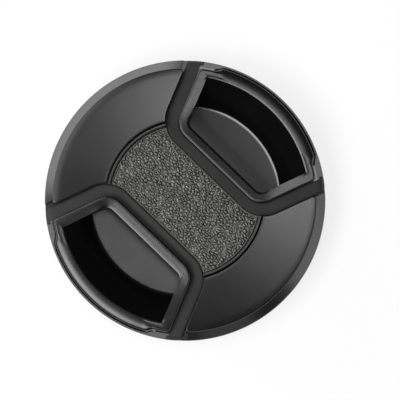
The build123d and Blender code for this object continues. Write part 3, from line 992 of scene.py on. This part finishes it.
# %% [markdown]
# ## The grained plate
# The plate between the tabs has a leather grain: small pebbles with narrow valleys, etched into the
# mould, about 0.6 mm apart across the plate and 0.8 mm along it. A bump map would look flat from the
# side, so the pebbles are real geometry. The distance to a pebble's border comes from Voronoi noise: the
# second nearest cell centre minus the nearest. Slower noise makes the pebbles uneven.

# %% Leather grain
GRAIN_PITCH, GRAIN_DEPTH, GRAIN_SLICE = (0.56, 0.84), 0.54, 0.3
PEBBLE_BORDER, PEBBLE_SHARE = 0.7, 0.8
HILL_PITCH, HILL_SHARE, HILL_SLICE = 0.9, 0.4, 4.0


def grain_depth(x, y):
    """Depth of the grain under the plate's face at a point: pebbles with valleys between, on slow hills."""
    distances = noise.voronoi(Vector((x / GRAIN_PITCH[0], y / GRAIN_PITCH[1], GRAIN_SLICE)))[0]
    pebble = min((distances[1] - distances[0]) / PEBBLE_BORDER, 1.0)
    hills = 0.5 + 0.5 * noise.noise(Vector((x / HILL_PITCH, y / HILL_PITCH, HILL_SLICE)))
    return GRAIN_DEPTH * (1 - PEBBLE_SHARE * pebble + HILL_SHARE * hills)


print("grain depth in the plate's middle:", round(grain_depth(0, 0), 2), "mm")

# %% [markdown]
# The plate fills the bridge between the two openings and ends in an arc inside each rib. It is crowned a
# little across, and its edge is rounded over. The grain grows faint in the last 0.2 mm before the edge.

# %% Plate
PLATE_END, PLATE_TOP, PLATE_CROWN = 15.95, 8.55, 0.4
PLATE_ROUND_RUN, PLATE_ROUND_DROP = 1.2, 0.45
PLATE_ROOM, PLATE_EDGE_STEPS = 0.2, (40, 80, 40)
PLATE_EDGE = half_bay(grown(OPENING, PLATE_ROOM), [RIM], PLATE_EDGE_STEPS)
PLATE_COLUMNS, PLATE_ROWS = 150, 320
END_GUESS, END_TRIES = 15.0, 10
GRAIN_FADE, GRAIN_LEAST = 0.2, 0.3


def plate_half_width(y):
    """Half width of the plate by distance from its middle."""
    return np.interp(np.abs(y), PLATE_EDGE[:, 1], PLATE_EDGE[:, 0])


def plate_shell():
    """The plate's grained face and its rounded edge."""
    shell = new_shell()
    share = np.linspace(-1, 1, PLATE_COLUMNS)
    end = np.full(PLATE_COLUMNS, END_GUESS)
    for _ in range(END_TRIES):
        end = np.sqrt(PLATE_END ** 2 - (share * plate_half_width(end)) ** 2)
    grid = []
    for row_share in np.linspace(-1, 1, PLATE_ROWS):
        y = row_share * end
        x = share * plate_half_width(y)
        rim = np.clip(np.minimum(PLATE_END - np.hypot(x, y), plate_half_width(y) - np.abs(x)), 0, None)
        grain = np.array([grain_depth(*spot) for spot in zip(x, y)])
        fall = edge_drop(rim, PLATE_ROUND_RUN) * PLATE_ROUND_DROP / PLATE_ROUND_RUN
        fall += PLATE_CROWN * (x / OPENING["side"]) ** 2
        grid.append(list(zip(x, y, PLATE_TOP - grain * np.clip(rim / GRAIN_FADE, GRAIN_LEAST, 1) - fall)))
    loft(shell, grid)
    right, left = [row[-1] for row in grid[:-1]], [row[0] for row in grid[:0:-1]]
    edge = grid[0][:-1] + right + grid[-1][:0:-1] + left
    loft(shell, [edge, [(x, y, BRIDGE_TOP) for x, y, z in edge]], closed=True)
    return shell


make_piece("grained_plate", plate_shell(), [grain_abs], "cap_body", ["centre_plate"])

# %% [markdown]
# ## The rear cover and the springs
# The rear cover is a plain disc from behind, and its CAD shape is already right, so it keeps its mesh and
# only gets its finish.

# %% Rear cover
cover = frame["nodes"]["rear_cover"]
cover.data.materials.clear()
cover.data.materials.append(rear_abs)
print("rear cover keeps its CAD mesh of", len(cover.data.polygons), "faces")

# %% [markdown]
# The springs hide inside. They are wound again here from round wire, as tubes swept along a helix. A
# curve object with a round bevel could make them too, but a loft keeps them in the same helper as
# everything else.

# %% Springs
COIL, WIRE, TURNS = 1.4, 0.2, 5
SPRING_HEIGHT, SPRING_ROW = 3.6, 6.0
SPRING_FROM, SPRING_TO = 0.8, 10.6
STEPS_PER_TURN, WIRE_SIDES = 24, 10


def coil_shell(side, row):
    """A round-wire coil spring along X at one row."""
    shell = new_shell()
    start, run = SPRING_FROM + WIRE, SPRING_TO - SPRING_FROM - 2 * WIRE
    rings = []
    for share in np.linspace(0, 1, TURNS * STEPS_PER_TURN + 1):
        turn = 2 * math.pi * TURNS * share
        outward = np.array([0, math.sin(turn), math.cos(turn)])
        spot = np.array([start + run * share, row, SPRING_HEIGHT]) + COIL * outward
        ring = []
        for angle in np.linspace(0, 2 * math.pi, WIRE_SIDES, endpoint=False):
            point = spot + WIRE * (math.cos(angle) * outward + math.sin(angle) * np.array([1, 0, 0]))
            ring.append((side * point[0], point[1], point[2]))
        rings.append(ring)
    loft(shell, rings, closed=True)
    close_ring(shell, rings[0])
    close_ring(shell, rings[-1])
    return shell


for side, hand in ((1, "right"), (-1, "left")):
    for row, level in ((SPRING_ROW, "upper"), (-SPRING_ROW, "lower")):
        coil = make_piece(f"{hand}_{level}_coil", coil_shell(side, row), [wire_steel], "cap_body",
                          [f"{hand}_{level}_spring"])
        coil.modifiers.clear()
        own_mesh(coil)

# %% [markdown]
# ## The floor and the room
# The cap lies on a sweep of white paper. A lit sheet alone would come out uneven, so to the camera and in
# reflections the paper is mostly a white glow, and the rest of it still takes the cap's shadow. The
# paper's fibres are about 2 mm long. The room itself is nearly dark, because a black object shows its
# form by what it reflects.

# %% Floor and world
FIBRE, PAPER_SHADES = 2.0, ("#f7f7f7", "#f9f9f9")
GLOW_SHARE, SWEEP_HALF, WORLD_LEVEL = 0.8, 1.5, 0.05
WHITE = srgb("#ffffff")


def paper_sweep():
    """White paper that looks white to the camera and still takes the cap's shadow."""
    material, tree, output = new_material("paper_white_sweep")
    place = add_node(tree, "ShaderNodeTexCoord")
    fibre = add_node(tree, "ShaderNodeTexNoise", {"Vector": place.outputs["Object"]},
                     {"Scale": MM_PER_M / FIBRE, "Detail": 3.0})
    darker, paler = (srgb(shade)[0] for shade in PAPER_SHADES)
    shade = add_node(tree, "ShaderNodeMapRange", {"Value": fibre.outputs["Fac"]},
                     {"To Min": darker, "To Max": paler})
    paper = add_node(tree, "ShaderNodeBsdfDiffuse", {"Color": shade.outputs["Result"]})
    glow = add_node(tree, "ShaderNodeEmission", inputs={"Color": WHITE, "Strength": 1.0})
    ray = add_node(tree, "ShaderNodeLightPath")
    seen = add_node(tree, "ShaderNodeMath",
                    {0: ray.outputs["Is Camera Ray"], 1: ray.outputs["Is Glossy Ray"]}, operation="MAXIMUM")
    share = add_node(tree, "ShaderNodeMath", {0: seen.outputs["Value"]}, {1: GLOW_SHARE},
                     operation="MULTIPLY")
    blend = add_node(tree, "ShaderNodeMixShader",
                     {0: share.outputs["Value"], 1: paper.outputs["BSDF"], 2: glow.outputs["Emission"]})
    tree.links.new(blend.outputs["Shader"], output.inputs["Surface"])
    return material


sweep_corners = [(x * SWEEP_HALF, y * SWEEP_HALF, 0) for x, y in ((-1, -1), (1, -1), (1, 1), (-1, 1))]
floor_mesh = bpy.data.meshes.new("white_sweep")
floor_mesh.from_pydata(sweep_corners, [], [(0, 1, 2, 3)])
floor_mesh.materials.append(paper_sweep())
floor = bpy.data.objects.new("white_sweep", floor_mesh)
bpy.context.scene.collection.objects.link(floor)

world = bpy.data.worlds.new("studio_room")
bpy.context.scene.world = world
world.use_nodes = True
background = world.node_tree.nodes["Background"]
background.inputs["Color"].default_value = WHITE
background.inputs["Strength"].default_value = WORLD_LEVEL
print("floor is", 2 * SWEEP_HALF, "m wide; the room's level is", WORLD_LEVEL)

# %% [markdown]
# ## Six soft boxes
# Each lamp is there for what it draws on the black plastic. The main one stands on the left of the
# picture: it lights the leaning faces and draws the bright line in the right-hand pocket. A small one
# overhead shows in what lies nearly level, the panels and the pockets' floors, and a weak one at the
# upper left adds a slow gradient to them. A long low one grazes the grain from the upper left and lights
# the rim there, and two more low ones, on the right and in front, light the rim on those sides. Together
# they light the cap at about the level at which a colour renders as it is written.

# %% Lamps
PICTURE_TURN = math.radians(46.0)
LAMP_AWAY = 0.7
LAMPS = {
    "left_softbox": {"bearing": 215, "rise": 50, "size": (0.55, 0.30), "watts": 4.4},
    "upper_left_softbox": {"bearing": 155, "rise": 60, "size": (0.35, 0.25), "watts": 0.7},
    "low_left_softbox": {"bearing": 135, "rise": 9, "size": (1.15, 0.20), "watts": 4.2},
    "right_softbox": {"bearing": 345, "rise": 12, "size": (0.60, 0.20), "watts": 1.0},
    "front_softbox": {"bearing": 287, "rise": 9, "size": (0.30, 0.20), "watts": 0.12},
    "overhead_softbox": {"bearing": 52, "rise": 80, "size": (0.35, 0.20), "watts": 1.0},
}


def softbox(name, bearing, rise, size, watts):
    """A rectangular lamp at a bearing in the picture and a height angle, aimed at the cap."""
    lamp = bpy.data.lights.new(name, "AREA")
    lamp.shape = "RECTANGLE"
    lamp.size, lamp.size_y = size
    lamp.energy = watts
    turn = math.radians(bearing) - PICTURE_TURN
    lift = math.radians(rise)
    aside = math.cos(lift)
    spot = LAMP_AWAY * Vector((math.cos(turn) * aside, math.sin(turn) * aside, math.sin(lift)))
    holder = bpy.data.objects.new(name, lamp)
    holder.location = spot
    holder.rotation_euler = (-spot).to_track_quat("-Z", "Y").to_euler()
    bpy.context.scene.collection.objects.link(holder)


for lamp_name, lamp_settings in LAMPS.items():
    softbox(lamp_name, **lamp_settings)
print("lamps:", list(LAMPS))

# %% [markdown]
# ## The camera
# The camera looks almost straight down, a few degrees off, and is rolled so that the pinch axis runs from
# the lower left to the upper right. A long lens from far away keeps the circles round.

# %% Camera
PICTURE_PIXELS, PIXELS_PER_MM = 400, 4.676
SENSOR_MM = 36.0
CAMERA_AWAY, CAMERA_LEAN = 1.20, math.radians(3.2)
AIM_HEIGHT, CENTRE_SHIFT = 5.0, (3.21, 0.11)

camera_data = bpy.data.cameras.new("camera")
camera_data.lens = SENSOR_MM * CAMERA_AWAY / (MM * PICTURE_PIXELS / PIXELS_PER_MM)
camera = bpy.data.objects.new("camera", camera_data)
bpy.context.scene.collection.objects.link(camera)
back = Vector((0, -math.sin(CAMERA_LEAN), math.cos(CAMERA_LEAN)))
picture_up = Vector((math.sin(PICTURE_TURN), math.cos(PICTURE_TURN), 0))
picture_up = (picture_up - back * picture_up.dot(back)).normalized()
picture_right = picture_up.cross(back)
aim = MM * (Vector((0, 0, AIM_HEIGHT)) + CENTRE_SHIFT[0] * picture_right + CENTRE_SHIFT[1] * picture_up)
axes = Matrix((picture_right, picture_up, back)).transposed()
camera.matrix_world = Matrix.Translation(aim + back * CAMERA_AWAY) @ axes.to_4x4()
bpy.context.scene.camera = camera
bpy.context.scene.view_settings.view_transform = "Standard"
print("lens", round(camera_data.lens, 1), "mm")

# %% [markdown]
# ## The end
# The view layer is brought up to date, and the number of materials in the file is printed.

# %% Last update
bpy.context.view_layer.update()
print("materials in the file, with the CAD model's own:", len(bpy.data.materials))
